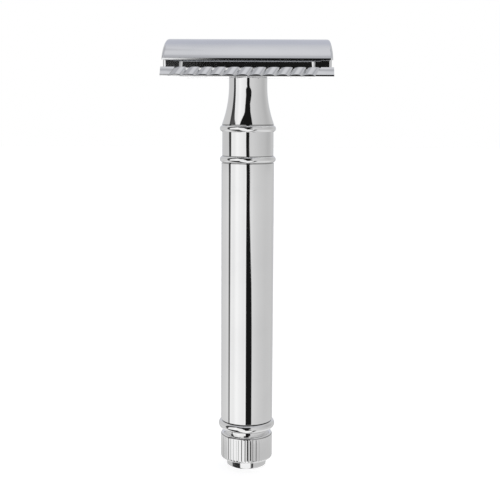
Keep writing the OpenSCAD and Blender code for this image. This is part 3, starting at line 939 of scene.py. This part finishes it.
def blade_point(i, j, top):
    """Number of the bent point for a grid place, on the top or the bottom face."""
    key = (i, j, top)
    if key not in blade_index:
        x, s = keep_out(blade_xs[i], blade_ss[j])
        ground = min(1.0, (BLADE_W / 2 - abs(s)) / GROUND)
        mid = (BLADE_IN_R + BLADE_OUT_R) / 2
        r = mid + (1 if top else -1) * BLADE_T / 2 * (EDGE_SHARE + (1 - EDGE_SHARE) * ground)
        blade_index[key] = len(blade_points)
        blade_points.append((x, r * math.sin(s / mid), BEND_Z + r * math.cos(s / mid)))
    return blade_index[key]


for i, j in sorted(steel):
    ring = [(i, j), (i + 1, j), (i + 1, j + 1), (i, j + 1)]
    blade_faces.append([blade_point(*p, True) for p in ring])
    blade_faces.append([blade_point(*p, False) for p in reversed(ring)])
    for (a, b), (di, dj) in zip(zip(ring, ring[1:] + ring[:1]), NEIGHBOURS):
        if (i + di, j + dj) not in steel:
            blade_faces.append([blade_point(*b, True), blade_point(*a, True),
                                blade_point(*a, False), blade_point(*b, False)])
blade = piece("bent_blade", blade_points, blade_faces, blade_steel)
dress(blade, "plate", "blade_steel", "blade")
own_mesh(blade)

# %% [markdown]
# ## The guard plate
#
# A casting in one piece: a curved bed with a block at each end, a slot along each side for lather, and
# a safety bar that slopes down to an upright lip. Rounded lobes lie across the slope and lean to one
# side, and each valley between two lobes ends at the slot in a small upright wall. They could be cut
# with Booleans, but a formula for their depth keeps the mesh even, so the chrome has no creases.

# %% Guard bars: lobes and valleys
GUARD_HALF, GUARD_REACH, GUARD_H, GUARD_T, GUARD_FLAT, GUARD_LIP = 22.0, 2.3, 2.4, 2.1, 0.15, 0.5
GUARD_Y, GUARD_TOP = EDGE_Y + GUARD_REACH, PLATE_Z + GUARD_H
SLOT_OUT = GUARD_Y - GUARD_T
LOBES, LOBE_PITCH, LOBE_R, LOBE_SLANT, LOBE_SHIFT = 11, 3.37, 4.6, math.radians(25.0), -0.44
LOBES_HALF = LOBES * LOBE_PITCH / 2
PIT, PIT_HALF, PIT_TURN = 0.72, 0.34, math.radians(4.6)


def lobe_depth(s):
    """How far the slope lies below the crest of the nearest lobe at a place along the bar."""
    if abs(s) > LOBES_HALF:
        return 0.0
    off = (s - round(s / LOBE_PITCH) * LOBE_PITCH) * math.cos(LOBE_SLANT)
    return LOBE_R - math.sqrt(LOBE_R ** 2 - off ** 2)


def pit(s):
    """Depth of the small upright wall that ends a valley at the slot, and its shift out of line."""
    past = s - (math.floor(s / LOBE_PITCH) + 0.5) * LOBE_PITCH
    if abs(s) > LOBES_HALF - PIT_HALF or abs(past) >= PIT_HALF:
        return 0.0, 0.0
    return PIT * (1 - abs(past) / PIT_HALF), past * math.tan(PIT_TURN)


print("valleys are %.2f mm deep" % lobe_depth(LOBE_PITCH / 2))

# %% [markdown]
# At each place along the bar its outline is drawn with the slope moved in by the lobe's depth, and every
# point is moved along the bar by the lean. Past the lobes the bar ends plain, with a lower lip and a
# small step across the slope; the lean fades out there, so that the ends are square.

# %% Guard bars: one section
SLOPE_RUN, SLOPE_DROP = GUARD_T - GUARD_FLAT, GUARD_H - GUARD_LIP
SLOPE_LEN = math.hypot(SLOPE_RUN, SLOPE_DROP)
LIP_ROUND, TOP_ROUND, RIM = 0.22, 0.15, 0.06
FRONT_EASE, BACK_EASE, RIM_EASE = 0.1, 0.05, 0.02
END_STEP, END_LIP = 0.044, 0.42
# Where the step lies, as shares of the way down the slope, and how far it stands out at each
STEP_SHAPE = ((0.48, -1.0), (0.455, -0.77), (0.285, 0.77), (0.26, 1.0))


def bar_section(s):
    """Points of a bar at one place along it, each moved along the bar by the lean of the lobes."""
    deep, plain = lobe_depth(s), abs(s) > LOBES_HALF
    wall, shift = pit(s)
    top_y, top_z = GUARD_Y - SLOPE_RUN - deep * SLOPE_LEN / SLOPE_DROP, GUARD_TOP
    short = max(0.0, SLOT_OUT + RIM - top_y)
    top_y, top_z = top_y + short + shift, top_z - short * SLOPE_DROP / SLOPE_RUN
    drop = max(wall, RIM)
    foot_y, foot_z = top_y + (drop - wall) * SLOPE_RUN / SLOPE_DROP, top_z - drop
    lip_z = PLATE_Z + (END_LIP if plain else GUARD_LIP) - deep * SLOPE_LEN / SLOPE_RUN
    step = END_STEP if plain else 0.0
    steps_at = [(foot_y + (GUARD_Y - foot_y) * share + out * step,
                 foot_z + (lip_z - foot_z) * share + out * step, 0) for share, out in STEP_SHAPE]
    outline = eased([(SLOT_OUT, PLATE_Z, BACK_EASE), (GUARD_Y, PLATE_Z, FRONT_EASE),
                     (GUARD_Y, lip_z, LIP_ROUND), *steps_at, (foot_y, foot_z, 0),
                     (top_y, top_z, TOP_ROUND), (SLOT_OUT, top_z, RIM_EASE)], closed=True)
    calm = max(0.0, min(1.0, (GUARD_HALF - abs(s)) / (GUARD_HALF - LOBES_HALF)))
    lean = calm * math.tan(LOBE_SLANT) * SLOPE_LEN / SLOPE_DROP
    middle = GUARD_TOP - SLOPE_DROP / 2
    return [(s + calm * LOBE_SHIFT + lean * (z - middle), y, z) for y, z in outline]


bar_points = len(bar_section(0.0))
print("a section of the bar has %d points" % bar_points)

# %% [markdown]
# The two bars are alike: the second is the first one turned half round, as on the real plate. A Mirror
# modifier would make the lobes of the two bars lean against each other.

# %% Guard bars: front and back
LOBE_CUTS, STEP_RUN = 40, 0.01


def bar(points, faces, side):
    """Adds one guard bar to a list of points and faces."""
    last = LOBES * LOBE_CUTS // 2
    lobes = [LOBE_PITCH * k / LOBE_CUTS for k in range(-last, last + 1)]
    ends = [LOBES_HALF + STEP_RUN, (LOBES_HALF + GUARD_HALF) / 2, GUARD_HALF]
    places = [-s for s in reversed(ends)] + lobes + ends
    base = len(points)
    for s in places:
        points += [(-side * x, side * y, z) for x, y, z in bar_section(s)]
    faces += skin(base, len(places), bar_points)
    faces.append(tuple(range(base, base + bar_points)))
    faces.append(tuple(range(len(points) - bar_points, len(points))))


plate_points, plate_faces = [], []
for side in (-1, 1):
    bar(plate_points, plate_faces, side)
print("bars: %d points" % len(plate_points))

# %% [markdown]
# The bed is drawn along the head, section by section, as the cap is. Its front walls have a little
# draft, wider at the foot, as a casting needs. Beside the slots the wall stands back from the bar; near
# the slot's round ends it swings out to the end blocks, whose upright edges are rounded.

# %% Bed: its front wall
BED_HALF, BED_Y, BED_TOP_Y, DRAFT, BED_CORNER_R, FLOOR_H = 21.5, 9.9, 8.8, 0.05, 0.7, 1.8
FLOOR_Z = PLATE_Z + FLOOR_H
SLOT_HALF, SLOT_IN = 17.3, BED_TOP_Y
SLOT_R = (SLOT_OUT - SLOT_IN) / 2
SLOT_MID = (SLOT_OUT + SLOT_IN) / 2
BED_EDGE_Z = BEND_Z + math.sqrt(BEND_R ** 2 - BED_Y ** 2)


def bed_wall(x, z):
    """Distance of the bed's front wall from the middle at a place along the head and a height."""
    draft = DRAFT * max(0.0, min(1.0, (BED_EDGE_Z - z) / (BED_EDGE_Z - FLOOR_Z)))
    block = BED_Y + draft
    past = abs(x) - (BED_HALF - BED_CORNER_R)
    if past > 0:
        block = block - BED_CORNER_R + math.sqrt(max(0.0, BED_CORNER_R ** 2 - past ** 2))
    into = abs(x) - (SLOT_HALF - SLOT_R)
    if into >= SLOT_R:
        return block
    back = BED_TOP_Y + draft
    return back if into <= 0 else min(block, max(back, SLOT_MID - math.sqrt(SLOT_R ** 2 - into ** 2)))


print("slots are %.2f mm wide" % (2 * SLOT_R))

# %% [markdown]
# A section of the bed runs from the middle of its curved top over an eased edge down the wall. The
# sections lie close together where the wall bends and further apart where it is straight, which keeps
# the curves round without wasting faces.

# %% Bed: sections along the head
TOP_STEPS, WALL_STEPS, BEND_STEPS, CORNER_STEPS = 24, 22, 14, 8
BED_STEP, BED_STEPS, PAST_BEND, PAST_CORNER = 0.75, 20, 0.02, 1.2
BED_EASE, BED_EASE_DROP, BED_EASE_END = 0.12, 0.16, 0.2
BED_EASE_TURNS = (math.radians(25), math.radians(50), math.radians(75))


def bed_section(x):
    """Outline of the bed at x, from the middle of its top over one side to the underside and back."""
    y_top = bed_wall(x, BED_EDGE_Z + 1) - BED_EASE
    ys = [y_top * k / TOP_STEPS for k in range(TOP_STEPS + 1)]
    half = [(y, BEND_Z + math.sqrt(BEND_R ** 2 - y * y)) for y in ys]
    z_last = half[-1][1]
    for t in BED_EASE_TURNS:
        half.append((y_top + BED_EASE * math.sin(t), z_last - BED_EASE_DROP * (1 - math.cos(t))))
    z_wall = z_last - BED_EASE_END
    for k in range(WALL_STEPS + 1):
        z = z_wall + (PLATE_Z - z_wall) * k / WALL_STEPS
        half.append((bed_wall(x, z), z))
    return half + [(-y, z) for y, z in reversed(half[1:])]


def round_off(start, r, steps):
    """Places along the head that follow a quarter circle which begins at start."""
    return [start + r * math.sin(math.pi / 2 * k / steps) for k in range(steps + 1)]


bends = round_off(SLOT_HALF - SLOT_R, SLOT_R, BEND_STEPS) + [SLOT_HALF + PAST_BEND]
corners = round_off(BED_HALF - BED_CORNER_R, BED_CORNER_R, CORNER_STEPS)
corners.append(BED_HALF - PAST_CORNER * BED_CORNER_R)
half_xs = bends + corners + [BED_STEP * k for k in range(BED_STEPS + 1)]
bed_xs = sorted({round(v, 5) for x in half_xs for v in (x, -x)})
bed_base, bed_count = len(plate_points), len(bed_section(0.0))
for x in bed_xs:
    plate_points += [(x, y, z) for y, z in bed_section(x)]
plate_faces += skin(bed_base, len(bed_xs), bed_count)
plate_faces.append(tuple(range(bed_base, bed_base + bed_count)))
plate_faces.append(tuple(range(len(plate_points) - bed_count, len(plate_points))))
print("bed: %d sections of %d points" % (len(bed_xs), bed_count))

# %% [markdown]
# At each end a flat floor carries the bars. It could be a part of the bed's sections, but its edge runs
# round the slots, so it is drawn as a plan and raised, with half of each slot's round end cut out.

# %% End floors
FLOOR_LAP, PLATE_SHARP = 0.5, 32.0


def end_floor(points, faces, side):
    """Adds the flat floor at one end."""
    x_in = SLOT_HALF - SLOT_R
    bar_mid = SLOT_OUT + FLOOR_LAP
    bite = arc(x_in, SLOT_MID, SLOT_R, -90, 90, 20)
    half = bite + [(x_in, bar_mid), (GUARD_HALF, bar_mid)]
    plan = half + [(x, -y) for x, y in reversed(half)]
    base, count = len(points), len(plan)
    for z in (PLATE_Z, FLOOR_Z):
        points += [(side * x, y, z) for x, y in plan]
    faces += [tuple(range(base, base + count)), tuple(range(base + count, base + 2 * count))]
    faces += skin(base, 2, count)


for side in (-1, 1):
    end_floor(plate_points, plate_faces, side)
base_plate = piece("guard_plate", plate_points, plate_faces, plate_chrome, sharp=PLATE_SHARP)
print("plate before drilling: %d faces" % len(base_plate.data.polygons))

# %% [markdown]
# The stud and the two pegs pass through the bed, so it needs three holes. They are drilled with one
# Boolean, which also joins the bed, the bars and the floors into one skin.

# %% Holes for the stud and the pegs
DRILL_Z, DRILL_SIDES = PLATE_Z - 1, 64
drill_points, drill_faces = [], []
for x0, r in BLADE_HOLES:
    drill_outline = [(0.0, DRILL_Z), (r, DRILL_Z), (r, CREST_Z), (0.0, CREST_Z)]
    add_turned(drill_points, drill_faces, drill_outline, x0, DRILL_SIDES)
combine(base_plate, "DIFFERENCE", piece("drill", drill_points, drill_faces, plate_chrome), PLATE_SHARP)
dress(base_plate, "plate", "plate_chrome", "base_plate")

# %% [markdown]
# ## The tie rod
#
# A plain brass rod inside the tube draws the knob up to the neck. It is never seen, so the solid itself
# is kept and only gets its metal.

# %% Tie rod
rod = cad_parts["tie_rod"]
rod.data.materials.clear()
rod.data.materials.append(rod_brass)
print("tie rod dressed")
